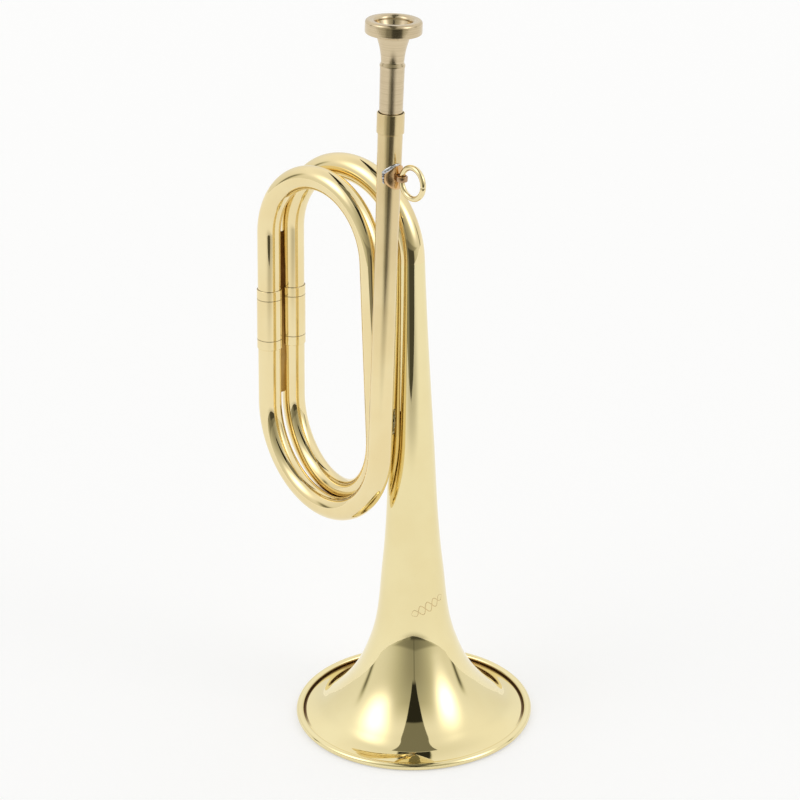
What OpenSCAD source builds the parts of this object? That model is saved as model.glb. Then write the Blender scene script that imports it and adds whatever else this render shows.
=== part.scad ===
// Double-coiled bugle, standing on its bell rim with the mouthpiece on top.
// Origin: centre of the bell mouth, on the plane it stands on. +Z runs up the bell axis.
// The coils lie towards -X of the bell. The air path runs from the mouthpiece down the
// leadpipe, round the front coil, round the rear coil and into the bell.

/* [Bell] */
// Outside diameter of the bell rim
bell_rim_d = 128; // [120:1:136]
// Height from the rim to the start of the rear upper bow
bell_h = 258.4; // [250:0.2:270]
// Outside diameter at the top of the bell, where the rear upper bow starts
bell_top_d = 15.2; // [14:0.1:16]
// Thickness of the bell sheet
bell_wall = 0.5; // [0.4:0.05:0.8]
// Diameter of the rolled bead round the rim
bead_d = 4; // [3.4:0.1:4.6]
// Diameter of the wire inside the bead
rim_wire_d = 2.9; // [2:0.1:3]
// Depth of the flat that the bead is dressed to where it stands
bead_flat = 0.06; // [0.04:0.01:0.12]
// Radius of the flare near its lip
lip_r = 52; // [50:0.5:54]
// Height of the flare at lip_r
lip_z = 4; // [3.4:0.1:4.6]
// Radius of the flare where it starts to turn outwards
turn_r = 46; // [44:0.5:48]
// Height of the flare at turn_r
turn_z = 8.6; // [7.6:0.1:10]
// Radius in the middle of the flare
flare_r = 34; // [32:0.5:36]
// Height of the flare at flare_r
flare_z = 21.9; // [20:0.1:24]
// Radius at the neck above the flare
neck_r = 23; // [22:0.5:24]
// Height of the bell at neck_r
neck_z = 45.4; // [42:0.2:50]
// Radius at the throat of the bell
throat_r = 16; // [15.4:0.1:16.6]
// Height of the bell at throat_r
throat_z = 91; // [85:1:97]
// Radius in the straight part of the bell
stem_r = 11.5; // [11.2:0.1:11.8]
// Height of the bell at stem_r
stem_z = 166; // [160:1:172]

/* [Tubing] */
// Outside diameter of the coiled tubes
tube_d = 12.3; // [12:0.05:12.3]
// Wall thickness of the tubes
tube_wall = 0.5; // [0.4:0.05:0.8]
// Length of the spigots that hold the tubes together inside their flush joints
spigot_len = 6; // [3:0.5:10]
// Wall thickness of the spigots
spigot_wall = 0.4; // [0.3:0.05:0.6]
// Radial gap between a spigot and the tube round it
spigot_gap = 0.02; // [0.01:0.01:0.05]

/* [Rear coil] */
// Bend radius of the rear upper bow
rear_upper_r = 40.9; // [40.7:0.1:42]
// Turn of the rear upper bow in degrees
rear_upper_turn = 178.2; // [178:0.1:178.6]
// Straight length between the rear bows on the ferrule side
rear_leg_len = 95.1; // [94:0.1:96]
// Twist about the leg between the planes of the rear bows
rear_leg_twist = 13.1; // [12.8:0.1:13.4]
// Bend radius of the rear lower bow
rear_lower_r = 39.8; // [39.4:0.1:40]
// Turn of the rear lower bow in degrees
rear_lower_turn = 184.2; // [184:0.1:184.4]

/* [Front coil] */
// Length of the middle tube
middle_len = 93.7; // [93:0.1:95]
// Twist about the middle tube between the bows at its ends
middle_twist = 10.5; // [10.3:0.1:10.8]
// Bend radius of the front upper bow
front_upper_r = 37.7; // [37.5:0.1:38]
// Turn of the front upper bow in degrees
front_upper_turn = 176.4; // [176.2:0.1:176.8]
// Straight length between the front bows on the ferrule side
front_leg_len = 93.9; // [93:0.1:95]
// Twist about the leg between the planes of the front bows
front_leg_twist = 5.1; // [4.9:0.1:5.4]
// Bend radius of the front lower bow
front_lower_r = 45.5; // [45.3:0.1:46]
// Turn of the front lower bow in degrees
front_lower_turn = 178.5; // [178.3:0.1:178.8]

/* [Leadpipe] */
// Height of the mouthpiece rim above the lower end of the leadpipe
mouth_h = 225.3; // [215:0.1:240]
// Outside diameter of the leadpipe at its narrowest
leadpipe_waist_d = 11.4; // [11.2:0.05:11.8]
// Distance of the narrowest point below the mouthpiece rim
leadpipe_waist_drop = 114; // [100:1:130]
// Outside diameter of the leadpipe at the receiver
leadpipe_top_d = 12.3; // [12.2:0.05:12.6]
// Outside diameter of the receiver sleeve
receiver_d = 13.4; // [13.2:0.05:13.8]
// Length of the receiver sleeve
receiver_len = 10; // [8:0.5:14]
// How far the receiver stands above the end of the leadpipe
receiver_lip = 2; // [1:0.5:3]

/* [Mouthpiece] */
// Length of the mouthpiece that shows above the receiver
mouthpiece_out = 44.8; // [40:0.1:50]
// Length of the shank inside the receiver and leadpipe
shank_in = 27; // [20:1:32]
// Outside diameter of the mouthpiece rim
rim_d = 27.2; // [26:0.1:28.5]
// Height of the rim band
rim_band = 6.6; // [5.5:0.1:7]
// Inside diameter of the rim
bite_d = 17.4; // [16:0.1:18]
// Depth of the cup
cup_depth = 14; // [12:0.5:15]
// Diameter of the throat below the cup
throat_bore_d = 4; // [3.6:0.1:4.4]
// Diameter of the shank below the shoulder
shank_top_d = 11.8; // [11.7:0.05:11.9]
// Taper of the shank, diameter lost per millimetre
shank_taper = 0.022; // [0.016:0.001:0.03]
// Radial gap between the shank and the leadpipe bore
shank_gap = 0.03; // [0.01:0.01:0.05]

/* [Ferrules] */
// Outside diameter of the ferrules
ferrule_d = 13.3; // [13.1:0.05:13.4]
// Length of each ferrule
ferrule_len = 33; // [28:0.5:38]
// Distance from the top of the rear leg to its ferrule
rear_ferrule_drop = 32.3; // [28:0.1:36]
// Distance from the top of the front leg to its ferrule
front_ferrule_drop = 30.7; // [27:0.1:35]
// Distance of each scribed groove from the end of its ferrule
groove_inset = 5.2; // [4:0.1:8]
// Depth of the scribed grooves
groove_depth = 0.15; // [0.1:0.05:0.2]
// Width of the scribed grooves
groove_width = 0.4; // [0.3:0.1:0.6]
// Gap left between two tube ends inside a ferrule
end_gap = 0.4; // [0.2:0.1:1]

/* [Carrying ring] */
// Height of the ring eye above the lower end of the leadpipe
ring_h = 149.6; // [130:0.1:160]
// Direction of the ring eye round the leadpipe, 0 is towards the coils
ring_side = 184; // [170:1:195]
// Diameter of the round saddle plate before it is curved
saddle_d = 12; // [11:0.1:14]
// Thickness of the saddle plate
saddle_t = 0.8; // [0.6:0.1:1]
// Diameter of the ring across its wire centres
ring_d = 15.2; // [14:0.1:18]
// Diameter of the ring wire
ring_wire_d = 2.8; // [2.4:0.1:3]
// Distance from the leadpipe axis to the eye hole
eye_reach = 8.8; // [8.7:0.1:10]
// Outside diameter of the eye
eye_d = 5.8; // [5.6:0.1:6.2]
// Diameter of the eye hole
eye_hole_d = 3.9; // [3.8:0.05:4]
// Height of the eye
eye_h = 2.8; // [2.4:0.1:3.2]
// Turn of the ring away from the eye's own direction at rest
ring_rest_turn = -3; // [-20:1:20]
// Angle that the ring droops in its eye
ring_droop = 3; // [0:1:9]

/* [Hidden] */
$fn = 96;

brass = [0.86, 0.74, 0.45];
raw_brass = [0.76, 0.67, 0.47];
solder_grey = [0.62, 0.63, 0.66];

tube_r = tube_d / 2;
bore_r = tube_r - tube_wall;
bell_r = bell_rim_d / 2;
bead_r = bead_d / 2;
bead_c = bell_r - bead_r;
bead_z = bead_r - bead_flat;
tiny = 0.01;

// Rigid motions as matrices. Along a tube, local Z is the way the air path is followed
// from the bell, and local X points to the centre of the next bow.
function shift(x, y, z) = [[1, 0, 0, x], [0, 1, 0, y], [0, 0, 1, z], [0, 0, 0, 1]];
function spin(a) = [[cos(a), -sin(a), 0, 0], [sin(a), cos(a), 0, 0], [0, 0, 1, 0], [0, 0, 0, 1]];
function tip(a) = [[cos(a), 0, sin(a), 0], [0, 1, 0, 0], [-sin(a), 0, cos(a), 0], [0, 0, 0, 1]];
function round_bow(r, a) = shift(r, 0, 0) * tip(a) * shift(-r, 0, 0);
function along(s) = shift(0, 0, s);

bell_end = shift(0, 0, bell_h) * spin(180);
rear_leg = bell_end * round_bow(rear_upper_r, rear_upper_turn);
rear_low = rear_leg * along(rear_leg_len) * spin(rear_leg_twist);
middle = rear_low * round_bow(rear_lower_r, rear_lower_turn);
front_top = middle * along(middle_len) * spin(middle_twist);
front_leg = front_top * round_bow(front_upper_r, front_upper_turn);
front_low = front_leg * along(front_leg_len) * spin(front_leg_twist);
lead = front_low * round_bow(front_lower_r, front_lower_turn);
rim_face = lead * along(mouth_h);
eye = lead * along(ring_h) * spin(ring_side) * shift(eye_reach, 0, 0);

rear_joint = rear_ferrule_drop + ferrule_len / 2;
front_joint = front_ferrule_drop + ferrule_len / 2;
lead_top = mouth_h - mouthpiece_out - receiver_lip;

// Smooth curve through a list of points, with steps points a span.
function unit(v) = v / norm(v);
function slope_in(p, i) =
    let (a = norm(p[i] - p[i - 1]), b = norm(p[i + 1] - p[i]))
    unit((p[i] - p[i - 1]) / a * b + (p[i + 1] - p[i]) / b * a);
function slope_at(p, i, last) =
    i == 0 ? unit(1.5 * unit(p[1] - p[0]) - 0.5 * slope_in(p, 1))
    : i == len(p) - 1 ? last
    : slope_in(p, i);
function span_point(p, q, u, v, s) =
    let (h = norm(q - p))
    (2 * s * s * s - 3 * s * s + 1) * p + (s * s * s - 2 * s * s + s) * h * u
    + (3 * s * s - 2 * s * s * s) * q + (s * s * s - s * s) * h * v;
function smooth(p, last, steps) = concat(
    [for (i = [0 : len(p) - 2], k = [0 : steps - 1])
        span_point(p[i], p[i + 1], slope_at(p, i, last), slope_at(p, i + 1, last), k / steps)],
    [p[len(p) - 1]]);

// The outline moved inwards by t, each point along its own normal.
function inset(p, t) = [for (i = [0 : len(p) - 1])
    let (d = unit(p[min(i + 1, len(p) - 1)] - p[max(i - 1, 0)])) p[i] + t * [-d.y, d.x]];
function backwards(p) = [for (i = [len(p) - 1 : -1 : 0]) p[i]];
function arc(c, r, from, to, n) = [for (i = [0 : n])
    c + r * [cos(from + (to - from) * i / n), sin(from + (to - from) * i / n)]];

// Outside of the bell as [radius, height], from the bead up to the rear upper bow.
bell_outline = smooth([[bead_c - bead_r * 0.7, bead_z * 0.75], [lip_r, lip_z], [turn_r, turn_z],
    [flare_r, flare_z], [neck_r, neck_z], [throat_r, throat_z], [stem_r, stem_z],
    [bell_top_d / 2, bell_h]], unit([-0.025, 1]), 6);

// A tube bore or rod along local Z.
module rod(r, from, to) {
    translate([0, 0, from]) cylinder(r = r, h = to - from);
}

// A solid round bar bent by the angle turn, from the local origin towards local X.
module bent_bar(r, bend_r, turn) {
    translate([bend_r, 0, 0])
        multmatrix([[-1, 0, 0, 0], [0, 0, 1, 0], [0, 1, 0, 0], [0, 0, 0, 1]])
            rotate_extrude(angle = turn, $fn = 144) translate([bend_r, 0]) circle(r = r);
}

// Spigot that reaches from the end of a bow into a tube with this bore, along local Z.
// Its collar is brazed into the mouth of the bow.
module spigot(bore = bore_r) {
    collar = 0.8;
    difference() {
        union() {
            rod(bore + tube_wall / 4, -collar, -collar / 8);
            rod(bore - spigot_gap, -collar, spigot_len);
        }
        rod(bore - spigot_gap - spigot_wall, -1, spigot_len + 1);
    }
}

// A bow of even bore from local Z 0 upwards, with a straight leg of leg_len below it.
module bow_with_leg(bend_r, turn, leg_len) {
    difference() {
        union() {
            bent_bar(tube_r, bend_r, turn);
            rod(tube_r, -leg_len, 0);
        }
        bent_bar(bore_r, bend_r, turn);
        rod(bore_r, -leg_len - 1, 0);
    }
}

// Solid outside of the bell, for solder to fit against.
module bell_outside() {
    rotate_extrude($fn = 144) polygon(concat([[0, bead_z * 0.75]], bell_outline, [[0, bell_h]]));
}

module bell() {
    inner = inset(bell_outline, bell_wall);
    inner_top = [bell_top_d / 2 - bell_wall, bell_h];
    color(brass) difference() {
        union() {
            rotate_extrude($fn = 144)
                polygon(concat(bell_outline, [inner_top],
                    backwards([for (i = [0 : len(inner) - 2]) inner[i]])));
            rotate_extrude($fn = 144) translate([bead_c, bead_z]) circle(r = bead_r, $fn = 48);
        }
        rotate_extrude($fn = 144) translate([bead_c, bead_z]) {
            circle(r = rim_wire_d / 2 + spigot_gap, $fn = 48);
            rotate(125) translate([0, -0.2]) square([bead_r + 1, 0.4]);
        }
        translate([0, 0, -1]) cylinder(r = bell_r + 1, h = 1);
    }
}

module bell_rim_wire() {
    color(brass) rotate_extrude($fn = 144)
        translate([bead_c, bead_z]) circle(r = rim_wire_d / 2, $fn = 48);
}

// The rear upper bow narrows from the bell to the coil, so it is swept ring by ring.
// At its narrow end the swept bar is a seam smaller than the round leg that it runs into.
sweep_sides = 24;
sweep_rings = 24;
seam = 0.04;
function sweep_frame(i) = bell_end * round_bow(rear_upper_r, rear_upper_turn * i / sweep_rings);
function sweep_r(i, wall) =
    bell_top_d / 2 + (tube_r - bell_top_d / 2) * i / sweep_rings - wall - (i == sweep_rings ? seam : 0);
function sweep_points(wall) = [for (i = [0 : sweep_rings], k = [0 : sweep_sides - 1])
    let (a = 360 * k / sweep_sides, r = sweep_r(i, wall),
        q = sweep_frame(i) * [r * cos(a), r * sin(a), 0, 1]) [q.x, q.y, q.z]];
function ring_faces(turned) = [for (i = [0 : sweep_rings - 1], k = [0 : sweep_sides - 1])
    let (n = sweep_sides, a = i * n + k, b = i * n + (k + 1) % n, c = b + n, d = a + n)
    turned ? [a, b, c, d] : [d, c, b, a]];
function end_ring(i, flip) = flip ? [for (k = [0 : sweep_sides - 1]) i * sweep_sides + k]
    : [for (k = [sweep_sides - 1 : -1 : 0]) i * sweep_sides + k];

module tapered_bar(wall) {
    polyhedron(points = sweep_points(wall),
        faces = concat(ring_faces(false), [end_ring(0, true), end_ring(sweep_rings, false)]));
}

module rear_upper_bow() {
    color(brass) {
        difference() {
            union() {
                tapered_bar(0);
                multmatrix(rear_leg) rod(tube_r, -5 * seam, rear_joint - end_gap / 2);
            }
            tapered_bar(tube_wall);
            multmatrix(rear_leg) rod(bore_r, -5 * seam, rear_joint);
        }
        multmatrix(bell_end) mirror([0, 0, 1]) spigot(bell_top_d / 2 - bell_wall);
    }
}

module rear_lower_bow() {
    color(brass) {
        multmatrix(rear_low)
            bow_with_leg(rear_lower_r, rear_lower_turn, rear_leg_len - rear_joint - end_gap / 2);
        multmatrix(middle) spigot();
    }
}

module middle_tube() {
    color(brass) multmatrix(middle) difference() {
        rod(tube_r, 0, middle_len);
        rod(bore_r, -1, middle_len + 1);
    }
}

module front_upper_bow() {
    color(brass) {
        multmatrix(front_leg) mirror([0, 0, 1])
            bow_with_leg(front_upper_r, front_upper_turn, front_joint - end_gap / 2);
        multmatrix(front_top) mirror([0, 0, 1]) spigot();
    }
}

module front_lower_bow() {
    color(brass) {
        multmatrix(front_low)
            bow_with_leg(front_lower_r, front_lower_turn, front_leg_len - front_joint - end_gap / 2);
        multmatrix(lead) spigot();
    }
}

// Sleeve over two tube ends, with a scribed groove near each end.
module ferrule() {
    difference() {
        cylinder(d = ferrule_d, h = ferrule_len);
        translate([0, 0, -1]) cylinder(r = tube_r + tiny, h = ferrule_len + 2);
        for (z = [groove_inset, ferrule_len - groove_inset])
            translate([0, 0, z - groove_width / 2]) difference() {
                cylinder(d = ferrule_d + 1, h = groove_width);
                translate([0, 0, -1]) cylinder(d = ferrule_d - 2 * groove_depth, h = groove_width + 2);
            }
    }
}

module rear_ferrule() {
    color(brass) multmatrix(rear_leg * along(rear_ferrule_drop)) ferrule();
}

module front_ferrule() {
    color(brass) multmatrix(front_leg * along(front_ferrule_drop)) ferrule();
}

// Shank diameter at a depth below the mouthpiece rim.
shank_start = 25;
function shank_d(depth) = shank_top_d - shank_taper * (depth - shank_start);

lead_waist = mouth_h - leadpipe_waist_drop;
socket_top_r = shank_d(mouth_h - lead_top) / 2 + shank_gap;
socket_end = mouth_h - mouthpiece_out - shank_in - 0.5;
socket_end_r = shank_d(mouth_h - socket_end) / 2 + shank_gap;

module leadpipe_outside() {
    cylinder(r1 = tube_r, d2 = leadpipe_waist_d, h = lead_waist);
    translate([0, 0, lead_waist])
        cylinder(d1 = leadpipe_waist_d, d2 = leadpipe_top_d, h = lead_top - lead_waist);
}

module leadpipe() {
    waist_bore = leadpipe_waist_d / 2 - tube_wall;
    color(brass) multmatrix(lead) difference() {
        leadpipe_outside();
        translate([0, 0, -tiny]) cylinder(r = bore_r, h = spigot_len + 1);
        translate([0, 0, spigot_len]) cylinder(r1 = bore_r, r2 = waist_bore, h = lead_waist - spigot_len);
        translate([0, 0, lead_waist - tiny])
            cylinder(r1 = waist_bore, r2 = socket_end_r, h = socket_end - lead_waist + 2 * tiny);
        translate([0, 0, socket_end])
            cylinder(r1 = socket_end_r, r2 = socket_top_r, h = lead_top - socket_end + tiny);
    }
}

module mouthpiece_receiver() {
    color(brass) multmatrix(lead * along(lead_top + receiver_lip - receiver_len)) difference() {
        cylinder(d = receiver_d, h = receiver_len);
        translate([0, 0, -1]) cylinder(d = leadpipe_top_d + 2 * tiny, h = receiver_len + 2);
    }
}

// Mouthpiece outline as [radius, height], with the rim face at height 0.
module mouthpiece() {
    rim_r = rim_d / 2;
    bite_r = bite_d / 2;
    throat_r0 = throat_bore_d / 2;
    tail = -mouthpiece_out - shank_in;
    outside = concat(
        arc([bite_r + 2, -2], 2, 180, 90, 6),
        arc([rim_r - 1.6, -1.6], 1.6, 90, 0, 6),
        arc([rim_r - 0.9, -rim_band + 0.9], 0.9, 0, -90, 4),
        smooth([[8.6, -rim_band], [6.5, -13.2], [5.5, -20.4]], unit([-0.05, -1]), 6),
        [[6.1, -21.6], [6.1, -22.2], [shank_top_d / 2, -23.2], [shank_d(-tail) / 2, tail]]);
    cup = smooth([[bite_r, -2], [bite_r - 2.6, -8], [throat_r0 + 0.6, -cup_depth + 1],
        [throat_r0, -cup_depth]], unit([-0.1, -1]), 5);
    inside = concat(cup, [[throat_r0, -cup_depth - 5], [shank_d(-tail) / 2 - 0.7, tail]]);
    color(raw_brass) multmatrix(rim_face) rotate_extrude()
        polygon(concat(outside, backwards([for (i = [1 : len(inside) - 1]) inside[i]])));
}

// The round saddle plate is cut from a tube that fits the leadpipe.
module saddle_blank(disc_d, thickness) {
    intersection() {
        multmatrix(lead) translate([0, 0, ring_h - disc_d]) difference() {
            cylinder(r = tube_r + thickness, h = 2 * disc_d);
            translate([0, 0, disc_d - ring_h]) leadpipe_outside();
        }
        multmatrix(eye) translate([-eye_reach, 0, 0]) rotate([0, 90, 0])
            cylinder(d = disc_d, h = 2 * eye_reach);
    }
}

module ring_saddle() {
    color(brass) saddle_blank(saddle_d, saddle_t);
}

module ring_eye() {
    color(raw_brass) difference() {
        multmatrix(eye) translate([0, 0, -eye_h / 2]) difference() {
            union() {
                cylinder(d = eye_d, h = eye_h);
                translate([-eye_reach + tube_r - 1, -1.6, 0])
                    cube([eye_reach - tube_r + 1, 3.2, eye_h]);
            }
            translate([0, 0, -1]) cylinder(d = eye_hole_d, h = eye_h + 2);
        }
        multmatrix(lead) translate([0, 0, ring_h - 10]) cylinder(r = tube_r + saddle_t, h = 20);
    }
}

// The ring stands upright in the eye and droops a little.
module carrying_ring() {
    color(brass) multmatrix(eye * spin(ring_rest_turn) * tip(ring_droop))
        translate([ring_d / 2, 0, 0]) rotate([90, 0, 0])
            rotate_extrude() translate([ring_d / 2, 0]) circle(d = ring_wire_d, $fn = 48);
}

// Solder run round the upper edge of the saddle, on the side away from the ring.
module saddle_solder() {
    color(solder_grey) difference() {
        intersection() {
            saddle_blank(saddle_d + 2.4, saddle_t * 0.7);
            multmatrix(eye) translate([-eye_reach, -saddle_d, 0])
                cube([3 * eye_reach, 1.5 * saddle_d, saddle_d]);
        }
        multmatrix(eye) translate([-eye_reach, 0, 0]) rotate([0, 90, 0])
            cylinder(d = saddle_d, h = 3 * eye_reach);
    }
}

// Where two tubes run side by side, half way between their axes.
function origin_of(m) = [m[0][3], m[1][3], m[2][3]];
function midway(a, b) = (origin_of(a) + origin_of(b)) / 2;

// The seam of solder that joins the two legs from bow to bow, ferrules and all.
module ferrule_solder() {
    rear = rear_leg * along(rear_leg_len / 2);
    beside = midway(rear, front_leg * along(rear_leg_len / 2)) - origin_of(rear);
    color(solder_grey) difference() {
        translate(beside) multmatrix(rear_leg) rod(2.2, 2, rear_leg_len - 2);
        multmatrix(rear_leg) rod(tube_r, 0, rear_leg_len);
        multmatrix(front_leg) rod(tube_r, -5, front_leg_len);
        multmatrix(rear_leg) rod(ferrule_d / 2, rear_ferrule_drop, rear_ferrule_drop + ferrule_len);
        multmatrix(front_leg) rod(ferrule_d / 2, front_ferrule_drop, front_ferrule_drop + ferrule_len);
    }
}

module bell_solder() {
    m = origin_of(middle * along(8));
    toward = unit([m.x, m.y, 0]);
    color(solder_grey) difference() {
        translate([0, 0, m.z - 8] + toward * 13) cylinder(r = 2.6, h = 14);
        multmatrix(middle) rod(tube_r, -20, middle_len);
        multmatrix(rear_low) bent_bar(tube_r, rear_lower_r, rear_lower_turn);
        bell_outside();
    }
}

module leadpipe_solder() {
    at = midway(middle * along(1), lead * along(5));
    color(solder_grey) difference() {
        translate(at) cylinder(r = 2.4, h = 10);
        multmatrix(middle) rod(tube_r, 0, middle_len);
        multmatrix(lead) leadpipe_outside();
    }
}

// Where two bows pass closest, found by stepping round both. Gives both turns in degrees.
function bow_point(start, r, a) = origin_of(start * round_bow(r, a));
function gap_of(f, fr, g, gr, t) = norm(bow_point(f, fr, t.x) - bow_point(g, gr, t.y));
function nearest(f, fr, g, gr) =
    let (turns = [for (a = [30 : 2 : 176], b = [4 : 2 : 176]) [a, b]],
        best = min([for (t = turns) gap_of(f, fr, g, gr, t)]))
    [for (t = turns) if (gap_of(f, fr, g, gr, t) == best) t][0];

upper_turns = nearest(front_top, front_upper_r, bell_end, rear_upper_r);
lower_turns = nearest(front_low, front_lower_r, rear_low, rear_lower_r);
upper_contact_turn = upper_turns.y;
upper_contact = (bow_point(front_top, front_upper_r, upper_turns.x)
    + bow_point(bell_end, rear_upper_r, upper_turns.y)) / 2;
lower_contact = (bow_point(front_low, front_lower_r, lower_turns.x)
    + bow_point(rear_low, rear_lower_r, lower_turns.y)) / 2;

// The swept bow is at most this wide where the two upper bows cross.
upper_contact_r = bell_top_d / 2 + (tube_r - bell_top_d / 2) * upper_contact_turn / rear_upper_turn;

module upper_bow_solder() {
    color(solder_grey) difference() {
        translate(upper_contact - [0, 0, 3]) cylinder(r = 2.6, h = 6);
        multmatrix(front_top) bent_bar(tube_r, front_upper_r, front_upper_turn);
        multmatrix(bell_end) bent_bar(upper_contact_r + 0.04, rear_upper_r, rear_upper_turn);
    }
}

module lower_bow_solder() {
    color(solder_grey) difference() {
        translate(lower_contact) sphere(r = 2.8);
        multmatrix(front_low) bent_bar(tube_r, front_lower_r, front_lower_turn);
        multmatrix(rear_low) bent_bar(tube_r, rear_lower_r, rear_lower_turn);
    }
}

bell();
bell_rim_wire();
rear_upper_bow();
rear_ferrule();
rear_lower_bow();
middle_tube();
front_upper_bow();
front_ferrule();
front_lower_bow();
leadpipe();
mouthpiece_receiver();
mouthpiece();
ring_saddle();
ring_eye();
carrying_ring();
saddle_solder();
ferrule_solder();
bell_solder();
leadpipe_solder();
upper_bow_solder();
lower_bow_solder();
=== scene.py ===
import math

import bpy
from mathutils import Matrix, Vector, noise


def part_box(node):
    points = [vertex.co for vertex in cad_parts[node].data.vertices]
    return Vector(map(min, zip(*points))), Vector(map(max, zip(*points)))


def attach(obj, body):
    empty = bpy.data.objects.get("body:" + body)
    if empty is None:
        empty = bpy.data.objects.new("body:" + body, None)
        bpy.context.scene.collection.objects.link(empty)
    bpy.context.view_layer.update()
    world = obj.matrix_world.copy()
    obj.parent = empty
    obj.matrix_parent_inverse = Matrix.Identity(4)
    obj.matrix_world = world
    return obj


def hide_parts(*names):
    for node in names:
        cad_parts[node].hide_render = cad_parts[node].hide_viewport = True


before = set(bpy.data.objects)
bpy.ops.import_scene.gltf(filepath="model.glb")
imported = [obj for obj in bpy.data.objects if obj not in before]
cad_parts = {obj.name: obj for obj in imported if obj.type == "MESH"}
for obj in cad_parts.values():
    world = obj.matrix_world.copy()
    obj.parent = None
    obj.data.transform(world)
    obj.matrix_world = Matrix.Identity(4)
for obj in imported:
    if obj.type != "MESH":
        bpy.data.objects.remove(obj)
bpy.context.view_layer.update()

# The looks of the double-coiled bugle. Lengths are in millimetres until a mesh is made, and
# angles are in degrees. Lengths inside a material or the floor are in metres.
MM = 0.001
# How far the picture's left-to-right is turned from the model's X, about Z.
TURN = 41.27
# Facets round the bell and round a tube, and degrees from ring to ring of a bow.
BELL_SIDES = 256
TUBE_SIDES = 96
BOW_STEP = 1.5

# Bell, as in the CAD model.
BELL_R = 64.0
BELL_H = 258.4
BELL_TOP_R = 7.6
BELL_WALL = 0.5
BEAD_R = 2.0
BEAD_C = BELL_R - BEAD_R
BEAD_Z = BEAD_R - 0.06
WIRE_R = 1.45
WIRE_SIDES = 48
BELL_STATIONS = [
    (BEAD_C - 0.7 * BEAD_R, 0.75 * BEAD_Z),
    (52, 4),
    (46, 8.6),
    (34, 21.9),
    (23, 45.4),
    (16, 91),
    (11.5, 166),
    (BELL_TOP_R, BELL_H),
]

# Tubing and coils.
TUBE_R = 6.15
TUBE_WALL = 0.5
# Tubes are this much slimmer than in the CAD, to stay clear of the sleeves round them.
SKIN = 0.02
REAR_UPPER_R, REAR_UPPER_TURN = 40.9, 178.2
REAR_LEG_LEN, REAR_LEG_TWIST = 95.1, 13.1
REAR_LOWER_R, REAR_LOWER_TURN = 39.8, 184.2
MIDDLE_LEN, MIDDLE_TWIST = 93.7, 10.5
FRONT_UPPER_R, FRONT_UPPER_TURN = 37.7, 176.4
FRONT_LEG_LEN, FRONT_LEG_TWIST = 93.9, 5.1
FRONT_LOWER_R, FRONT_LOWER_TURN = 45.5, 178.5

# Leadpipe, receiver and mouthpiece.
MOUTH_H = 225.3
LEAD_WAIST_R = 5.7
LEAD_WAIST_H = MOUTH_H - 114
LEAD_TOP_R = 6.15
LEAD_TOP = 178.5
LEAD_WALL = 0.4
SOCKET_H = 150
SOCKET_R = 5.55
RECEIVER_R = 6.7
RECEIVER_LEN = 10.0
RECEIVER_LIP = 2.0
RIM_R = 13.6
BITE_R = 8.7
BITE_ROUND = 2.0
RIM_ROUND = 1.6
RIM_BAND = 6.6
BAND_ROUND = 0.9
CUP_DEPTH = 14.0
THROAT_R = 2.0
BODY = [(8.6, -RIM_BAND), (6.5, -13.2), (5.5, -20.4)]
SHOULDER = [(6.1, -21.6), (6.1, -22.2)]
SHANK_TOP_R, SHANK_TOP = 5.9, 23.2
SHANK_END_R, SHANK_END = 5.39, 71.8
SHANK_WALL = 0.7
MOUTHPIECE_SIDES = 128

# Ferrules and the carrying ring.
FERRULE_R = 6.65
FERRULE_LEN = 33.0
REAR_FERRULE_DROP = 32.3
FRONT_FERRULE_DROP = 30.7
GROOVE_INSET = 5.2
GROOVE_DEPTH = 0.15
GROOVE_WIDTH = 0.4
SLEEVE_EDGE = 0.2
RING_H = 149.6
RING_SIDE = 184
SADDLE_R = 6.0
SADDLE_T = 0.8
RING_R = 7.6
RING_WIRE_R = 1.4
RING_GAP = 0.9
RING_END_EDGE = 0.15
EYE_REACH = 8.8
EYE_R = 2.9
EYE_HOLE_R = 1.95
EYE_H = 2.8
EYE_EDGE = 0.45
EYE_HOLE_EDGE = 0.15
EYE_SIDES = 64
RING_REST_TURN = -3
RING_DROOP = 3


# Rigid motions. Along a tube, local Z is the way the air path is followed from the bell,
# and local X points to the centre of the next bow.
def shift(x, y, z):
    return Matrix.Translation((x, y, z))


def spin(angle):
    return Matrix.Rotation(math.radians(angle), 4, "Z")


def tip(angle):
    return Matrix.Rotation(math.radians(angle), 4, "Y")


def along(length):
    return shift(0, 0, length)


def round_bow(radius, angle):
    return shift(radius, 0, 0) @ tip(angle) @ shift(-radius, 0, 0)


BELL_END = along(BELL_H) @ spin(180)
REAR_LEG = BELL_END @ round_bow(REAR_UPPER_R, REAR_UPPER_TURN)
REAR_LOW = REAR_LEG @ along(REAR_LEG_LEN) @ spin(REAR_LEG_TWIST)
MIDDLE = REAR_LOW @ round_bow(REAR_LOWER_R, REAR_LOWER_TURN)
FRONT_TOP = MIDDLE @ along(MIDDLE_LEN) @ spin(MIDDLE_TWIST)
FRONT_LEG = FRONT_TOP @ round_bow(FRONT_UPPER_R, FRONT_UPPER_TURN)
FRONT_LOW = FRONT_LEG @ along(FRONT_LEG_LEN) @ spin(FRONT_LEG_TWIST)
LEAD = FRONT_LOW @ round_bow(FRONT_LOWER_R, FRONT_LOWER_TURN)
RIM_FACE = LEAD @ along(MOUTH_H)
EYE = LEAD @ along(RING_H) @ spin(RING_SIDE) @ shift(EYE_REACH, 0, 0)
RING = EYE @ spin(RING_REST_TURN) @ tip(RING_DROOP) @ shift(RING_R, 0, 0)


# Outlines, as lists of (radius, height).
def unit(v):
    return v.normalized()


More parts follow.
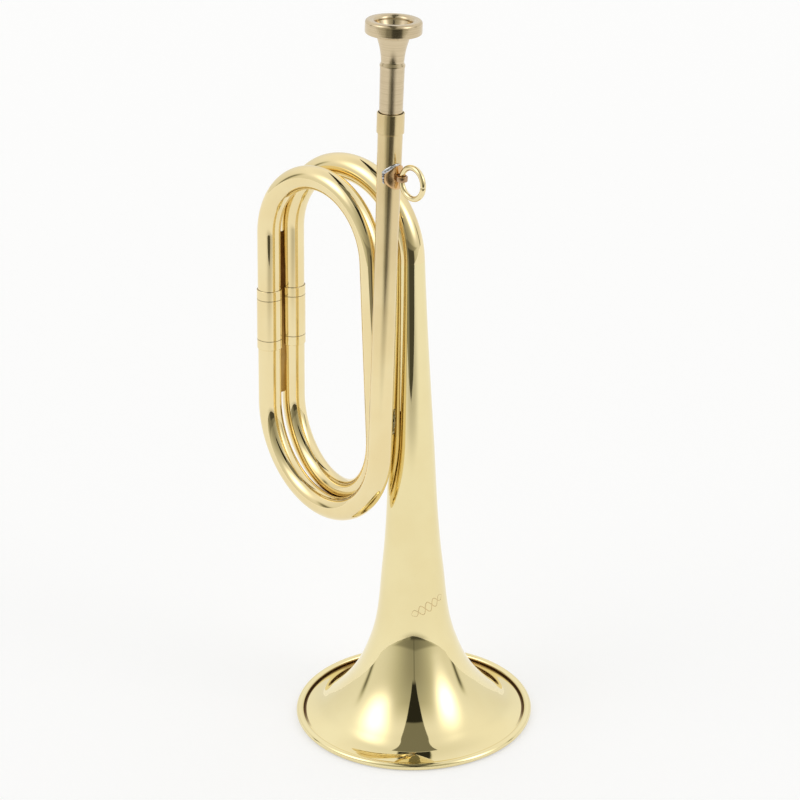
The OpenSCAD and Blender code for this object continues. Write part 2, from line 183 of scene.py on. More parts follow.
def smooth(points, last, steps):
    """A smooth curve through the points, leaving the last one along the given direction."""
    p = [Vector(q) for q in points]

    def slope_in(i):
        a, b = (p[i] - p[i - 1]).length, (p[i + 1] - p[i]).length
        return unit((p[i] - p[i - 1]) / a * b + (p[i + 1] - p[i]) / b * a)

    slopes = [unit(1.5 * unit(p[1] - p[0]) - 0.5 * slope_in(1))]
    slopes += [slope_in(i) for i in range(1, len(p) - 1)]
    slopes += [unit(Vector(last))]
    out = []
    for i in range(len(p) - 1):
        h = (p[i + 1] - p[i]).length
        for k in range(steps):
            s = k / steps
            s2, s3 = s * s, s * s * s
            out.append(
                (2 * s3 - 3 * s2 + 1) * p[i]
                + (s3 - 2 * s2 + s) * h * slopes[i]
                + (3 * s2 - 2 * s3) * p[i + 1]
                + (s3 - s2) * h * slopes[i + 1]
            )
    return out + [p[-1]]


def arc(centre, radius, start, end, steps):
    out = []
    for i in range(steps + 1):
        a = math.radians(start + (end - start) * i / steps)
        out.append(Vector((centre[0] + radius * math.cos(a), centre[1] + radius * math.sin(a))))
    return out


def inset(points, t):
    """The outline moved to its left by t, each point along its own normal."""
    out = []
    for i, q in enumerate(points):
        d = unit(points[min(i + 1, len(points) - 1)] - points[max(i - 1, 0)])
        out.append(q + t * Vector((-d.y, d.x)))
    return out


# Meshes.
def mesh_piece(name, rows, body, replaces, material, closed=True):
    """A piece from rows of points that wrap round, with a UV map in metres: u along a row,
    v from row to row. A closed piece's last row joins its first; an open one is capped."""
    n, m = len(rows), len(rows[0])
    verts = [tuple(q * MM) for row in rows for q in row]
    spans = n if closed else n - 1
    faces = [
        (i * m + j, i * m + (j + 1) % m, (i + 1) % n * m + (j + 1) % m, (i + 1) % n * m + j)
        for i in range(spans)
        for j in range(m)
    ]
    if not closed:
        faces += [tuple(reversed(range(m))), tuple(range((n - 1) * m, n * m))]
    mesh = bpy.data.meshes.new(name)
    mesh.from_pydata(verts, [], faces)
    lengths = [0.0]
    for i in range(n):
        lengths.append(lengths[-1] + (rows[(i + 1) % n][0] - rows[i][0]).length * MM)
    around = [0.0]
    for j in range(m):
        around.append(around[-1] + (rows[0][(j + 1) % m] - rows[0][j]).length * MM)
    layer = mesh.uv_layers.new(name="Lengthwise")
    for i in range(spans):
        for j in range(m):
            corner = (i * m + j) * 4
            for k, (a, b) in enumerate(((j, i), (j + 1, i), (j + 1, i + 1), (j, i + 1))):
                layer.data[corner + k].uv = (around[a], lengths[b])
    mesh.shade_smooth()
    mesh.set_sharp_from_angle(angle=math.radians(32))
    mesh.materials.append(material)
    piece = bpy.data.objects.new(name, mesh)
    bpy.context.scene.collection.objects.link(piece)
    finish_piece(piece, body, replaces)
    return piece


def finish_piece(piece, body, replaces):
    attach(piece, body)
    if replaces:
        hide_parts(*replaces)


def lathe(name, outline, place, sides, body, replaces, material):
    """Revolves a closed outline, given with its outside upwards first, about local Z."""
    rows = []
    for q in outline:
        row = []
        for k in range(sides):
            a = 2 * math.pi * k / sides
            row.append(place @ Vector((q[0] * math.cos(a), q[0] * math.sin(a), q[1])))
        rows.append(row)
    return mesh_piece(name, rows, body, replaces, material)


def tube_rows(stations, sides):
    """Rings of a thin tube, out along its outside and back along its bore.
    A station is (frame, outside radius, bore radius)."""
    loop = [(f, outer - SKIN) for f, outer, inner in stations]
    loop += [(f, inner) for f, outer, inner in reversed(stations)]
    rows = []
    for f, r in loop:
        row = []
        for k in range(sides):
            a = 2 * math.pi * k / sides
            row.append(f @ Vector((r * math.cos(a), r * math.sin(a), 0)))
        rows.append(row)
    return rows


def leg_stations(start, length, steps):
    return [(start @ along(length * i / steps), TUBE_R, TUBE_R - TUBE_WALL) for i in range(steps + 1)]


def bow_stations(start, radius, turn, first_r=TUBE_R):
    steps = round(turn / BOW_STEP)
    out = []
    for i in range(steps + 1):
        r = first_r + (TUBE_R - first_r) * i / steps
        out.append((start @ round_bow(radius, turn * i / steps), r, r - TUBE_WALL))
    return out


# Materials.
class Value:
    """A number in a node tree. Arithmetic on it adds Math nodes."""

    def __init__(self, tree, socket):
        self.tree, self.socket = tree, socket

    def make(self, operation, *others, flip=False):
        n = self.tree.nodes.new("ShaderNodeMath")
        n.operation = operation
        terms = [self, *others]
        if flip:
            terms.reverse()
        for slot, term in zip(n.inputs, terms):
            if isinstance(term, Value):
                self.tree.links.new(term.socket, slot)
            else:
                slot.default_value = term
        return Value(self.tree, n.outputs[0])

    def __add__(self, other):
        return self.make("ADD", other)

    def __sub__(self, other):
        return self.make("SUBTRACT", other)

    def __rsub__(self, other):
        return self.make("SUBTRACT", other, flip=True)

    def __mul__(self, other):
        return self.make("MULTIPLY", other)

    def __truediv__(self, other):
        return self.make("DIVIDE", other)

    def __pow__(self, other):
        return self.make("POWER", other)

    def rise(self, low, high):
        """From 0 at low to 1 at high, smoothly."""
        n = self.tree.nodes.new("ShaderNodeMapRange")
        n.interpolation_type = "SMOOTHSTEP"
        self.tree.links.new(self.socket, n.inputs["Value"])
        n.inputs["From Min"].default_value = low
        n.inputs["From Max"].default_value = high
        return Value(self.tree, n.outputs["Result"])

    def hump(self, centre, width, power=2):
        """1 at centre, falling off over width on both sides."""
        off = ((self - centre) / width).make("ABSOLUTE") ** power
        return (off * -1).make("EXPONENT")

    def ramp(self, *stops):
        """A colour from stops of (position, colour)."""
        n = self.tree.nodes.new("ShaderNodeValToRGB")
        bands = n.color_ramp.elements
        while len(bands) < len(stops):
            bands.new(1.0)
        for band, (position, colour) in zip(bands, stops):
            band.position = position
            band.color = (*colour, 1)
        self.tree.links.new(self.socket, n.inputs["Fac"])
        return n.outputs["Color"]


def new_material(name):
    material = bpy.data.materials.new(name)
    material.use_nodes = True
    tree = material.node_tree
    return material, tree, tree.nodes["Principled BSDF"]


def speckle(tree, scale, detail=3.0, stretch=None):
    """Noise over the object, or drawn out along the piece by stretch (along, across)."""
    place = tree.nodes.new("ShaderNodeTexCoord")
    grain = tree.nodes.new("ShaderNodeTexNoise")
    grain.inputs["Scale"].default_value = scale
    grain.inputs["Detail"].default_value = detail
    if stretch:
        scaled = tree.nodes.new("ShaderNodeMapping")
        scaled.inputs["Scale"].default_value = (stretch[1], stretch[0], 1)
        tree.links.new(place.outputs["UV"], scaled.inputs["Vector"])
        tree.links.new(scaled.outputs["Vector"], grain.inputs["Vector"])
    else:
        tree.links.new(place.outputs["Object"], grain.inputs["Vector"])
    return Value(tree, grain.outputs["Fac"])


def bump(tree, shader, height, distance):
    n = tree.nodes.new("ShaderNodeBump")
    n.inputs["Distance"].default_value = distance
    tree.links.new(height.socket, n.inputs["Height"])
    tree.links.new(n.outputs["Normal"], shader.inputs["Normal"])


def crevice(tree, reach):
    """1 in a narrow gap, 0 out in the open."""
    n = tree.nodes.new("ShaderNodeAmbientOcclusion")
    n.samples = 8
    n.inputs["Distance"].default_value = reach
    return 1 - Value(tree, n.outputs["AO"])


def turned_axes(tree, kind):
    """X, Y and Z of a place or a direction, in axes that stand TURN round from the model's."""
    place = tree.nodes.new("ShaderNodeTexCoord")
    turned = tree.nodes.new("ShaderNodeVectorRotate")
    turned.rotation_type = "Z_AXIS"
    turned.inputs["Angle"].default_value = math.radians(-TURN)
    tree.links.new(place.outputs[kind], turned.inputs["Vector"])
    split = tree.nodes.new("ShaderNodeSeparateXYZ")
    tree.links.new(turned.outputs["Vector"], split.inputs["Vector"])
    return (Value(tree, split.outputs[k]) for k in "XYZ")


def seen_directly(tree):
    """1 where the camera itself looks, 0 in a reflection."""
    return Value(tree, tree.nodes.new("ShaderNodeLightPath").outputs["Is Camera Ray"])


def mixed(tree, amount, first, second):
    n = tree.nodes.new("ShaderNodeMix")
    n.data_type = "RGBA"
    tree.links.new(amount.socket, n.inputs["Factor"])
    tree.links.new(first, n.inputs[6])
    tree.links.new(second, n.inputs[7])
    return n.outputs[2]


# Half the width of the line of painted shade inside the bell's bead.
SHADE_LINE_REACH = 0.0009


def metal(name, light, deep, gap_shade_colour, rough, waves, turned=0.0, reach=0.0016, gap_shade_range=(0.5, 0.85),
          upward_wear_and_shade=None, shade_line_radius=None):
    """Worked metal: its colour and polish drift a little, narrow gaps and creases are painted in shade,
    and its surface has the faint waves of hand work. Turned metal also has fine rings round it.
    Given (light, deep, from height, to height), the colour changes going up: wear on the leadpipe,
    painted shade on the leg seam. Given a radius, a line of painted shade runs at that radius round the
    far side of the bell."""
    material, tree, shader = new_material(name)
    shader.inputs["Metallic"].default_value = 1.0
    x, y, z = turned_axes(tree, "Object")
    # Painted shade: narrow gaps and creases darken towards the third colour.
    gap_shade = crevice(tree, reach).rise(*gap_shade_range)
    # A line of painted shade inside the bead, on the far side of the bell only.
    if shade_line_radius:
        radius = (x * x + y * y).make("SQRT")
        line = radius.hump(shade_line_radius * MM, SHADE_LINE_REACH, 8) * (1 - z.rise(0.004, 0.006))
        gap_shade = gap_shade.make("MAXIMUM", line * y.rise(-0.035, -0.005))
    drift = speckle(tree, 30.0)
    shade = drift.rise(0.35, 0.65) * 0.5
    if turned:
        rings = speckle(tree, 1.0, 3.0, (1400.0, 6.0))
        shade = shade * 0.5 + rings.rise(0.4, 0.66) * 0.24
    shade = shade * (1 - gap_shade) + gap_shade
    colour = shade.ramp((0.0, light), (0.5, deep), (1.0, gap_shade_colour))
    haze = speckle(tree, 140.0, 4.0)
    scratch = speckle(tree, 1.0, 2.0, (60.0, 5200.0)).rise(0.62, 0.72)
    polish = haze * (rough[1] - rough[0]) + rough[0] + gap_shade * 0.25 + scratch * 0.02
    # Going up, the colour changes: wear on the leadpipe, painted shade on the leg seam.
    if upward_wear_and_shade:
        higher_up = z.rise(upward_wear_and_shade[2], upward_wear_and_shade[3])
        dulled = shade.ramp((0.0, upward_wear_and_shade[0]), (0.5, upward_wear_and_shade[1]), (1.0, gap_shade_colour))
        colour = mixed(tree, higher_up, colour, dulled)
        polish = polish + higher_up * 0.13
    tree.links.new(colour, shader.inputs["Base Color"])
    tree.links.new(polish.socket, shader.inputs["Roughness"])
    height = speckle(tree, 55.0, 1.0)
    if turned:
        height = height + rings * turned
    bump(tree, shader, height, waves)
    return material


# The third colour of each metal is the painted shade of its narrow gaps and creases.
BRIGHT, DEEPER, GAP_SHADE_BROWN = (0.875, 0.742, 0.428), (0.85, 0.70, 0.385), (0.20, 0.09, 0.02)
LACQUERED = metal("lacquered_brass", BRIGHT, DEEPER, GAP_SHADE_BROWN, (0.02, 0.05), 0.00002)
# The bell is painted with shade in its gaps, and in a line inside its bead on the far side.
FLARED = metal("bell_brass", (0.865, 0.755, 0.43), (0.845, 0.725, 0.40), (0.12, 0.055, 0.01),
               (0.02, 0.045), 0.00002, shade_line_radius=59.4)
# The ferrules' grooves and end steps are painted in shade.
FERRULED = metal("ferrule_brass", BRIGHT, DEEPER, (0.11, 0.05, 0.015), (0.03, 0.06), 0.00002,
                 reach=0.0008, gap_shade_range=(0.10, 0.26))
AGED = (0.74, 0.595, 0.33), (0.67, 0.52, 0.27)
WORN = metal("worn_brass", BRIGHT, DEEPER, GAP_SHADE_BROWN, (0.03, 0.07), 0.00002, upward_wear_and_shade=(*AGED, 0.19, 0.30))
# The receiver's recesses are painted in shade; its dull colours are wear.
RECEIVER = metal("receiver_brass", *AGED, (0.16, 0.08, 0.03), (0.12, 0.22), 0.00002,
                 reach=0.0006, gap_shade_range=(0.16, 0.36))
RAW = metal("turned_brass", (0.68, 0.56, 0.37), (0.54, 0.43, 0.27), (0.10, 0.055, 0.03),
            (0.12, 0.22), 0.00004, 0.16)
STAINED = metal("heat_stained_brass", (0.74, 0.50, 0.26), (0.60, 0.34, 0.14), (0.16, 0.055, 0.025),
                (0.14, 0.30), 0.00006)
TARNISHED = metal("tarnished_brass", (0.50, 0.33, 0.19), (0.34, 0.20, 0.10), (0.08, 0.04, 0.02),
                  (0.16, 0.32), 0.00006)
ENGRAVED = metal("engraved_brass", (0.76, 0.60, 0.32), (0.66, 0.50, 0.25), (0.16, 0.08, 0.03),
                 (0.16, 0.30), 0.00002)
SOLDER = metal("soft_solder", (0.70, 0.72, 0.76), (0.42, 0.42, 0.44), (0.14, 0.09, 0.06),
               (0.12, 0.34), 0.00030)
BURNT = metal("flux_stained_solder", (0.24, 0.12, 0.035), (0.12, 0.05, 0.012), (0.04, 0.014, 0.004),
              (0.22, 0.42), 0.00020)
# Solder between the legs, painted in the dark brown of the shade in that gap, darker towards the top.
SEAM_SHADE = metal("leg_seam_solder_in_painted_shade", (0.46, 0.29, 0.10), (0.34, 0.19, 0.05), (0.10, 0.04, 0.01),
             (0.22, 0.42), 0.00020, upward_wear_and_shade=((0.24, 0.12, 0.035), (0.12, 0.05, 0.012), 0.18, 0.225))

# Bell.
outside = smooth(BELL_STATIONS, (-0.025, 1), 16)
inside = inset(outside, BELL_WALL)
inside[-1] = Vector((BELL_TOP_R - BELL_WALL, BELL_H))
join = math.degrees(math.atan2(outside[0].y - BEAD_Z, outside[0].x - BEAD_C))
join_in = math.degrees(math.atan2(inside[0].y - BEAD_Z, inside[0].x - BEAD_C))
bell_loop = (
    outside
    + list(reversed(inside))
    + arc((BEAD_C, BEAD_Z), BEAD_R, join_in + 360, join + 360 + 360, 48)[1:-1]
)
# It stays within the CAD's bell.
bell_loop = [Vector((min(q.x, BELL_R - SKIN / 2), max(q.y, 0))) for q in bell_loop]
lathe("bell_sheet", bell_loop, Matrix(), BELL_SIDES, "bugle", ["bell"], FLARED)
wire_round = arc((BEAD_C, BEAD_Z), WIRE_R, 0, 360, WIRE_SIDES)[:-1]
lathe("bell_wire", wire_round, Matrix(), BELL_SIDES, "bugle",
      ["bell_rim_wire"], LACQUERED)

# Coils. The two ends inside a ferrule stop GAP short of its middle.
GAP = 0.2
rear_joint = REAR_FERRULE_DROP + FERRULE_LEN / 2
front_joint = FRONT_FERRULE_DROP + FERRULE_LEN / 2
coils = {
    "rear_upper_tube": (
        bow_stations(BELL_END, REAR_UPPER_R, REAR_UPPER_TURN, BELL_TOP_R)
        + leg_stations(REAR_LEG, rear_joint - GAP, 8)[1:],
        "rear_upper_bow",
    ),
    "rear_lower_tube": (
        leg_stations(REAR_LEG @ along(rear_joint + GAP) @ spin(REAR_LEG_TWIST),
                     REAR_LEG_LEN - rear_joint - GAP, 8)[:-1]
        + bow_stations(REAR_LOW, REAR_LOWER_R, REAR_LOWER_TURN),
        "rear_lower_bow",
    ),
    "middle_pipe": (leg_stations(MIDDLE, MIDDLE_LEN, 12), "middle_tube"),
    "front_upper_tube": (
        bow_stations(FRONT_TOP, FRONT_UPPER_R, FRONT_UPPER_TURN)
        + leg_stations(FRONT_LEG, front_joint - GAP, 8)[1:],
        "front_upper_bow",
    ),
    "front_lower_tube": (
        leg_stations(FRONT_LEG @ along(front_joint + GAP) @ spin(FRONT_LEG_TWIST),
                     FRONT_LEG_LEN - front_joint - GAP, 8)[:-1]
        + bow_stations(FRONT_LOW, FRONT_LOWER_R, FRONT_LOWER_TURN),
        "front_lower_bow",
    ),
}
for name, (stations, cad) in coils.items():
    mesh_piece(name, tube_rows(stations, TUBE_SIDES), "bugle", [cad], LACQUERED)

# Leadpipe and receiver.
lead = []
steps = 24
for i in range(steps + 1):
    h = LEAD_TOP * i / steps
    if h < LEAD_WAIST_H:
        r = TUBE_R + (LEAD_WAIST_R - TUBE_R) * h / LEAD_WAIST_H
    else:
        s = (h - LEAD_WAIST_H) / (LEAD_TOP - LEAD_WAIST_H)
        r = LEAD_WAIST_R + (LEAD_TOP_R - LEAD_WAIST_R) * s
    lead.append((LEAD @ along(h), r, r - LEAD_WALL if h < SOCKET_H else SOCKET_R))
mesh_piece("mouth_pipe", tube_rows(lead, TUBE_SIDES), "bugle", ["leadpipe"], WORN)


def sleeve_outline(radius, length, grooves=()):
    bore = TUBE_R + SKIN / 2
    e = SLEEVE_EDGE
    out = [(bore, 0.0), (radius - e, 0.0), (radius, e)]
    for z in grooves:
        out += [(radius, z - GROOVE_WIDTH / 2), (radius - GROOVE_DEPTH, z - GROOVE_WIDTH / 6),
                (radius - GROOVE_DEPTH, z + GROOVE_WIDTH / 6), (radius, z + GROOVE_WIDTH / 2)]
    out += [(radius, length - e), (radius - e, length), (bore, length)]
    return out


scribed = sleeve_outline(FERRULE_R, FERRULE_LEN, (GROOVE_INSET, FERRULE_LEN - GROOVE_INSET))
plain = sleeve_outline(RECEIVER_R, RECEIVER_LEN)
receiver = LEAD @ along(LEAD_TOP + RECEIVER_LIP - RECEIVER_LEN)
for name, outline, place, cad, material in (
    ("receiver_sleeve", plain, receiver, "mouthpiece_receiver", RECEIVER),
    ("rear_sleeve", scribed, REAR_LEG @ along(REAR_FERRULE_DROP), "rear_ferrule", FERRULED),
    ("front_sleeve", scribed, FRONT_LEG @ along(FRONT_FERRULE_DROP), "front_ferrule", FERRULED),
):
    lathe(name, outline, place, TUBE_SIDES, "bugle", [cad], material)

# Mouthpiece, its rim face at local Z 0.
body = (
    arc((BITE_R + BITE_ROUND, -BITE_ROUND), BITE_ROUND, 180, 90, 12)
    + arc((RIM_R - RIM_ROUND, -RIM_ROUND), RIM_ROUND, 90, 0, 12)
    + arc((RIM_R - BAND_ROUND, -RIM_BAND + BAND_ROUND), BAND_ROUND, 0, -90, 8)
    + smooth(BODY, (-0.05, -1), 16)
    + [Vector(q) for q in SHOULDER]
    + [Vector((SHANK_TOP_R, -SHANK_TOP)), Vector((SHANK_END_R, -SHANK_END))]
)
cup = smooth([(BITE_R, -BITE_ROUND), (BITE_R - 2.6, -8), (THROAT_R + 0.6, -CUP_DEPTH + 1),
              (THROAT_R, -CUP_DEPTH)], (-0.1, -1), 12)
bore = cup[1:] + [Vector((THROAT_R, -CUP_DEPTH - 5)), Vector((SHANK_END_R - SHANK_WALL, -SHANK_END))]
# It sits a hair low, so as to stay within the CAD's box.
lathe("turned_mouthpiece", bore + list(reversed(body)), RIM_FACE @ along(-0.002), MOUTHPIECE_SIDES,
      "mouthpiece", ["mouthpiece"], RAW)

# Carrying ring, bent round from wire so that its ends meet opposite the eye.
wire = []
turns = [2 * math.pi * k / WIRE_SIDES for k in range(WIRE_SIDES)]
steps = 128
for i in range(steps + 1):
    f = RING @ tip(RING_GAP + (360 - 2 * RING_GAP) * i / steps) @ shift(RING_R, 0, 0)
    r = RING_WIRE_R - (RING_END_EDGE if i in (0, steps) else 0)
    wire.append([f @ Vector((r * math.cos(a), r * math.sin(a), 0)) for a in turns])
mesh_piece("ring_wire", wire, "ring", ["carrying_ring"], LACQUERED, False)

# Saddle: a round plate curved to the leadpipe, with its edge rounded over.
SADDLE = LEAD @ along(RING_H) @ spin(RING_SIDE)
# Radius of the leadpipe under the saddle.
PIPE_R = LEAD_TOP_R - 0.15
plate = [(0.05, SADDLE_T), (2.5, SADDLE_T), (5.0, SADDLE_T), (SADDLE_R - 0.3, SADDLE_T),
         (SADDLE_R - 0.1, SADDLE_T - 0.06), (SADDLE_R, SADDLE_T - 0.25), (SADDLE_R, -0.1), (0.05, -0.1)]


def on_saddle(radius, turn, rise):
    """A point out from the saddle's centre, at a height over the leadpipe's surface."""
    side, up = radius * math.sin(turn), radius * math.cos(turn)
    reach = PIPE_R + rise
    side = max(-0.98 * PIPE_R, min(0.98 * PIPE_R, side))
    return SADDLE @ Vector((math.sqrt(reach * reach - side * side), side, up))


turns = [2 * math.pi * k / TUBE_SIDES for k in range(TUBE_SIDES)]
rows = [[on_saddle(r, a, t) for a in turns] for r, t in plate]
mesh_piece("saddle_plate", rows, "bugle", ["ring_saddle"], STAINED)

# Eye: a short band that holds the ring's wire, sunk into the saddle.
e, lip = EYE_EDGE, EYE_HOLE_EDGE
top, bottom = EYE_H / 2, -EYE_H / 2
band = [(EYE_R, bottom + e), (EYE_R, top - e), (EYE_R - e * 0.3, top - e * 0.3), (EYE_R - e, top),
        (EYE_HOLE_R + lip, top), (EYE_HOLE_R, top - lip), (EYE_HOLE_R, bottom + lip),
        (EYE_HOLE_R + lip, bottom), (EYE_R - e, bottom), (EYE_R - e * 0.3, bottom + e * 0.3)]
lathe("eye_band", band, EYE, EYE_SIDES, "bugle", ["ring_eye"], TARNISHED)


# Solder.
RUN_SIDES = 20
THIN_END = 0.12


def run(name, path, across, size, replaces, material, lumps=0.25):
    """A run of solder along a path of points, thinning out at its ends. across holds the direction
    of its width at each point, and size is half its width and half its thickness."""
    n = len(path)
    rows = []
    for i, q in enumerate(path):
        ahead = (path[min(i + 1, n - 1)] - path[max(i - 1, 0)]).normalized()
        wide = (across[i] - ahead * ahead.dot(across[i])).normalized()
        thick = ahead.cross(wide)
        s = i / (n - 1)
        taper = max(THIN_END, math.sqrt(max(0, 1 - (2 * s - 1) ** 2)))
        row = []
        for k in range(RUN_SIDES):
            a = 2 * math.pi * k / RUN_SIDES
            spot = q + wide * size[0] * math.cos(a) + thick * size[1] * math.sin(a)
            lump = 1 + lumps * noise.noise(spot * 0.9) + 0.4 * lumps * noise.noise(spot * 2.3)
            row.append(q + (spot - q) * taper * lump)
        rows.append(row)
    mesh_piece(name, rows, "bugle", replaces, material, False)


# Round the saddle's upper edge, away from the ring.
RUN_FROM, RUN_TO, RUN_H = -118, 10, 0.25
steps = 48
turns = [math.radians(RUN_FROM + (RUN_TO - RUN_FROM) * i / steps) for i in range(steps + 1)]
path = [on_saddle(SADDLE_R + 0.35, t, RUN_H) for t in turns]
outward = [on_saddle(SADDLE_R + 1.5, t, RUN_H) - q for t, q in zip(turns, path)]
run("saddle_run", path, outward, (0.95, 0.65), ["saddle_solder"], SOLDER)

# In the gap between the two legs, from bow to bow. Its faces are hollow against the tubes.
# Its dark brown colour is painted shade that fills the gap between the legs.
SEAM_INSET, SEAM_REACH, SEAM_SINK = 2, 1.75, 0.08
front_axis = (FRONT_LEG @ Vector((0, 0, 1)) - FRONT_LEG.translation).normalized()
rows = []
steps = 96
for i in range(steps + 1):
    h = SEAM_INSET + (REAR_LEG_LEN - 2 * SEAM_INSET) * i / steps
    rear = (REAR_LEG @ along(h)).translation
    front = FRONT_LEG.translation + front_axis * (rear - FRONT_LEG.translation).dot(front_axis)
    gap = front - rear
    facing = gap.normalized()
    flank = facing.cross(front_axis)
    reach = SEAM_REACH + 0.3 * noise.noise(Vector((0, 0, h * 0.21)))
    reach = max(0.2, reach * min(1, THIN_END + min(i, steps - i) / 24))
    half = []
    for k in range(9):
        q = reach * (k / 4 - 1)
        half.append((gap.length / 2 - math.sqrt(TUBE_R ** 2 - q * q) + SEAM_SINK, q))
    middle = (rear + front) / 2
    row = [middle + facing * p + flank * q for p, q in half]
    row += [middle - facing * p + flank * q for p, q in reversed(half)]
    rows.append(row)
mesh_piece("leg_seam", rows, "bugle", ["ferrule_solder"], SEAM_SHADE, False)

# Lumps where tubes touch: up the gap between two tubes, as tall as the CAD's bars.
sideways = spin(TURN) @ Vector((1, 0, 0))
steps = 32
for cad, width, material in (("bell_solder", 1.9, SOLDER), ("leadpipe_solder", 1.8, BURNT),
                             ("upper_bow_solder", 1.7, BURNT), ("lower_bow_solder", 1.9, BURNT)):
    low, high = (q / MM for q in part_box(cad))
    centre, tall = (low + high) / 2, high.z - low.z
    path = [centre + Vector((0, 0, tall * (i / steps - 0.5))) for i in range(steps + 1)]
    run(cad.replace("_solder", "_lump"), path, [sideways] * len(path), (width, width * 0.9), [cad],
        material, 0.5)

# A band engraved on the bell, as a plain ornament: two waves that cross and die away at the ends.
BAND_H, BAND_SIDE, BAND_TILT = 71, -21, 20
BAND_LEN, BAND_TALL, BAND_LOOPS = 21, 2.8, 5
STROKE = 0.26, 0.03
wave = []
steps = 120
for i in range(steps + 1):
    s = 2 * i / steps - 1
    swing = BAND_TALL * (1 - 0.6 * s * s) * math.cos(math.pi / 2 * BAND_LOOPS * s)
    wave.append(Vector((BAND_LEN / 2 * s, swing)))


def on_bell(q):
    """A point of the flat drawing, tilted and wrapped on to the outside of the bell."""
    tilt = math.radians(BAND_TILT)
    side = q.x * math.cos(tilt) - q.y * math.sin(tilt)
    h = BAND_H + q.x * math.sin(tilt) + q.y * math.cos(tilt)
    k = next(i for i in range(1, len(outside)) if outside[i].y >= h)
    s = (h - outside[k - 1].y) / (outside[k].y - outside[k - 1].y)
    r = outside[k - 1].x * (1 - s) + outside[k].x * s + 0.01
    a = math.radians(BAND_SIDE) + side / r
    return Vector((r * math.cos(a), r * math.sin(a), h))


for name, flip in (("upper_wave", 1), ("lower_wave", -1)):
    path = [on_bell(Vector((q.x, flip * q.y))) for q in wave]
    outward = [Vector((q.x, q.y, 0)).normalized() for q in path]
    across = []
    for i, q in enumerate(path):
        ahead = path[min(i + 1, len(path) - 1)] - path[max(i - 1, 0)]
        across.append(ahead.cross(outward[i]))
    run(name, path, across, STROKE, None, ENGRAVED, 0.0)

# Camera: the photograph's viewing angle.
EYE_BACK, EYE_UP, FOCAL = 1028.2, 606.4, 97.2
YAW, PITCH, ROLL = math.radians(-0.32), math.radians(22.40), math.radians(-0.61)
forward = Vector((math.sin(YAW) * math.cos(PITCH), math.cos(YAW) * math.cos(PITCH), -math.sin(PITCH)))
level = Vector((math.cos(YAW), -math.sin(YAW), 0))
upward = level.cross(forward)
right = math.cos(ROLL) * level + math.sin(ROLL) * upward
top = -math.sin(ROLL) * level + math.cos(ROLL) * upward
lens = bpy.data.cameras.new("camera")
lens.sensor_width = 36
lens.lens = FOCAL
lens.clip_start = 0.05
lens.clip_end = 20
camera = bpy.data.objects.new("camera", lens)
bpy.context.scene.collection.objects.link(camera)
pose = Matrix((right, top, -forward)).transposed().to_4x4()
camera.matrix_world = spin(TURN) @ Matrix.Translation(Vector((0, -EYE_BACK, EYE_UP)) * MM) @ pose
bpy.context.scene.camera = camera

# The studio that lights the bugle, painted by direction: across is 0 towards the camera and
# grows to the right, and height is 0 at the horizon.
world = bpy.data.worlds.new("studio")
world.use_nodes = True
tree = world.node_tree
x, y, z = turned_axes(tree, "Generated")
ahead = y * -1
across = x.make("ARCTAN2", ahead) * math.degrees(1)
height = z.make("ARCSINE") * math.degrees(1)

# A white tent, dimmer towards the camera, with a glow all round and two lamps behind its front.
dim = across.hump(0, 52) * (1 - height.rise(35, 60))
tent = (1 - dim * 0.74) * 0.76
strip = 1 - ((height + 0.8).make("ABSOLUTE") + (across - 5).make("ABSOLUTE") * 0.10).rise(4.5, 7)
tent = tent * (1 - strip * 0.5)
tent = tent + height.hump(42, 23) * 0.16 + 0.1
for side, side_width, up, up_width, power in ((-68, 20, 42, 16, 1.75), (62, 16, 31, 17, 2.15)):
    tent = tent + across.hump(side, side_width, 2.3) * height.hump(up, up_width, 2.3) * power
# The outer edges of its front walls are dark lines, from the floor up.
for side, fade_from, fade_to, depth in ((-102, 8, 28, 0.8), (99, 8, 22, 0.85)):
    edge = across.hump(side, 4) * (1 - height.rise(fade_from, fade_to)) * height.rise(-5, -3)
    tent = tent * (1 - edge * depth)
# The camera looks in through a slit between them that widens upwards, dark below and dim above.
front = ahead.make("MAXIMUM", 0.02)
u, w = x / front, z / front
left_edge = (w - 0.35) * -0.22 - 0.05
right_edge = (w - 0.35) * 0.232 + 0.085
slit = (u - left_edge).rise(-0.01, 0.01) * (right_edge - u).rise(-0.01, 0.01) * w.rise(0.3, 0.4)
slit = slit * ahead.rise(0, 0.02)
slit_light = w.rise(1.3, 1.4) * 0.19 + 0.025
tent = tent * (1 - slit) + slit_light * slit
crease = u.hump(0.03, 0.02) * (1 - w.rise(0.3, 0.4)) * w.rise(-0.12, -0.08) * ahead.rise(0, 0.02)
tent = tent * (1 - crease * 0.45)
# Overhead it goes on behind, black and closing to a point.
above = z.make("MAXIMUM", 0.02)
behind = ahead * -1 / above
narrow = 0.15 - behind * 0.14
overhead = (narrow - (x / above).make("ABSOLUTE")).rise(-0.01, 0.01) * behind.rise(0, 0.02)
overhead = overhead * z.rise(0.3, 0.4)
tent = tent * (1 - overhead) + overhead * 0.03
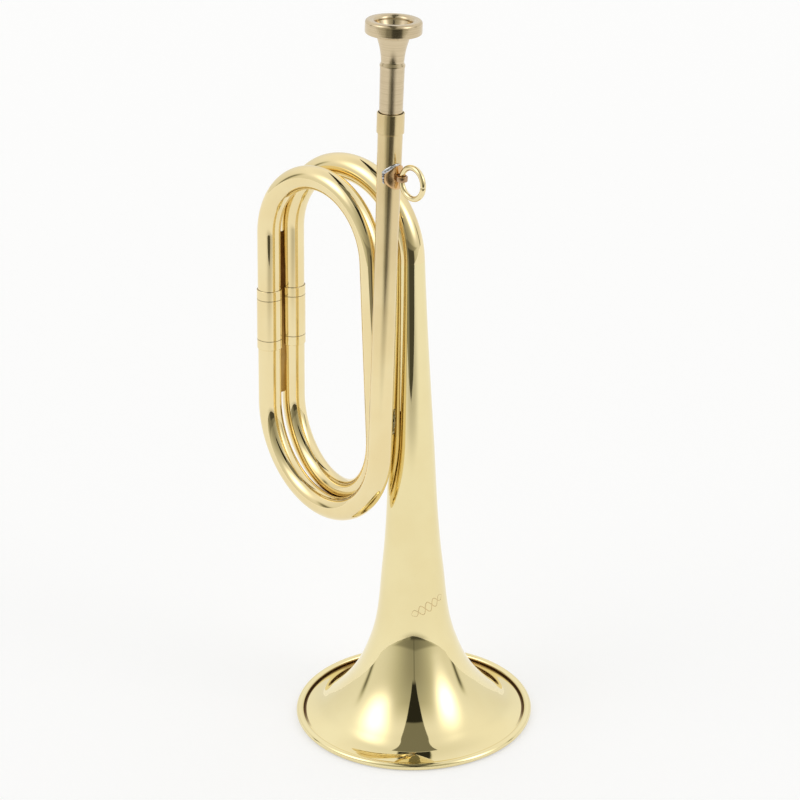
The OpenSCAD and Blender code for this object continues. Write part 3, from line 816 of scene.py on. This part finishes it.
# Past the table's front edge it is dark, olive to the left and black to the right.
below = (height * -1).rise(2, 4) * (across + 34).rise(0, 6) * (1 - (across - 33).rise(0, 5))
below_light = (1 - (across + 8).rise(-4, 4)) * 0.2 + 0.07
tent = tent * (1 - below) + below * below_light
# Seen directly it is a plain pale backdrop; the painted studio only lights the object.
BACKDROP = 0.975
direct = seen_directly(tree)
tent = tent * (1 - direct) + direct * BACKDROP
warmth = tent.ramp((0.0, (1.0, 0.98, 0.76)), (0.55, (1.0, 0.99, 0.85)), (0.95, (1.0, 1.0, 1.0)))
tree.links.new(warmth, tree.nodes["Background"].inputs["Color"])
tree.links.new(tent.socket, tree.nodes["Background"].inputs["Strength"])
bpy.context.scene.world = world
bpy.context.scene.view_settings.view_transform = "Standard"

# The floor is a table that ends in a shallow notch in front of the object. What the brass
# reflects of it is dimmer near the notch; seen directly it is plain all over.
NOTCH, FRONT_EDGE, HALF_NOTCH, REACH = 0.63, 0.76, 0.5, 4
LIT, SHADED = (0.50, 0.50, 0.50), (0.36, 0.35, 0.32)
GLOW, GLOW_LOST = 0.49, 0.26
corners = [(-REACH, -FRONT_EDGE), (-HALF_NOTCH, -FRONT_EDGE), (0, -NOTCH), (HALF_NOTCH, -FRONT_EDGE),
           (REACH, -FRONT_EDGE), (REACH, REACH), (-REACH, REACH)]
floor_mesh = bpy.data.meshes.new("floor")
floor_mesh.from_pydata([spin(TURN) @ Vector((a, b, 0)) for a, b in corners], [],
                       [tuple(range(len(corners)))])
floor = bpy.data.objects.new("floor", floor_mesh)
floor.location.z = -0.0001
bpy.context.scene.collection.objects.link(floor)
paper, tree, shader = new_material("paper")
shader.inputs["Roughness"].default_value = 0.9
x, y, z = turned_axes(tree, "Object")
shaded = (1 - y.rise(-0.64, -0.40)) * x.hump(0.1, 0.38, 3) * (1 - seen_directly(tree))
tree.links.new(shaded.ramp((0.0, LIT), (1.0, SHADED)), shader.inputs["Base Color"])
# The floor glows a little: painted light that brings it up to the backdrop's white and keeps its
# shadows faint.
shader.inputs["Emission Color"].default_value = (1, 1, 1, 1)
tree.links.new((GLOW - shaded * GLOW_LOST).socket, shader.inputs["Emission Strength"])
floor_mesh.materials.append(paper)
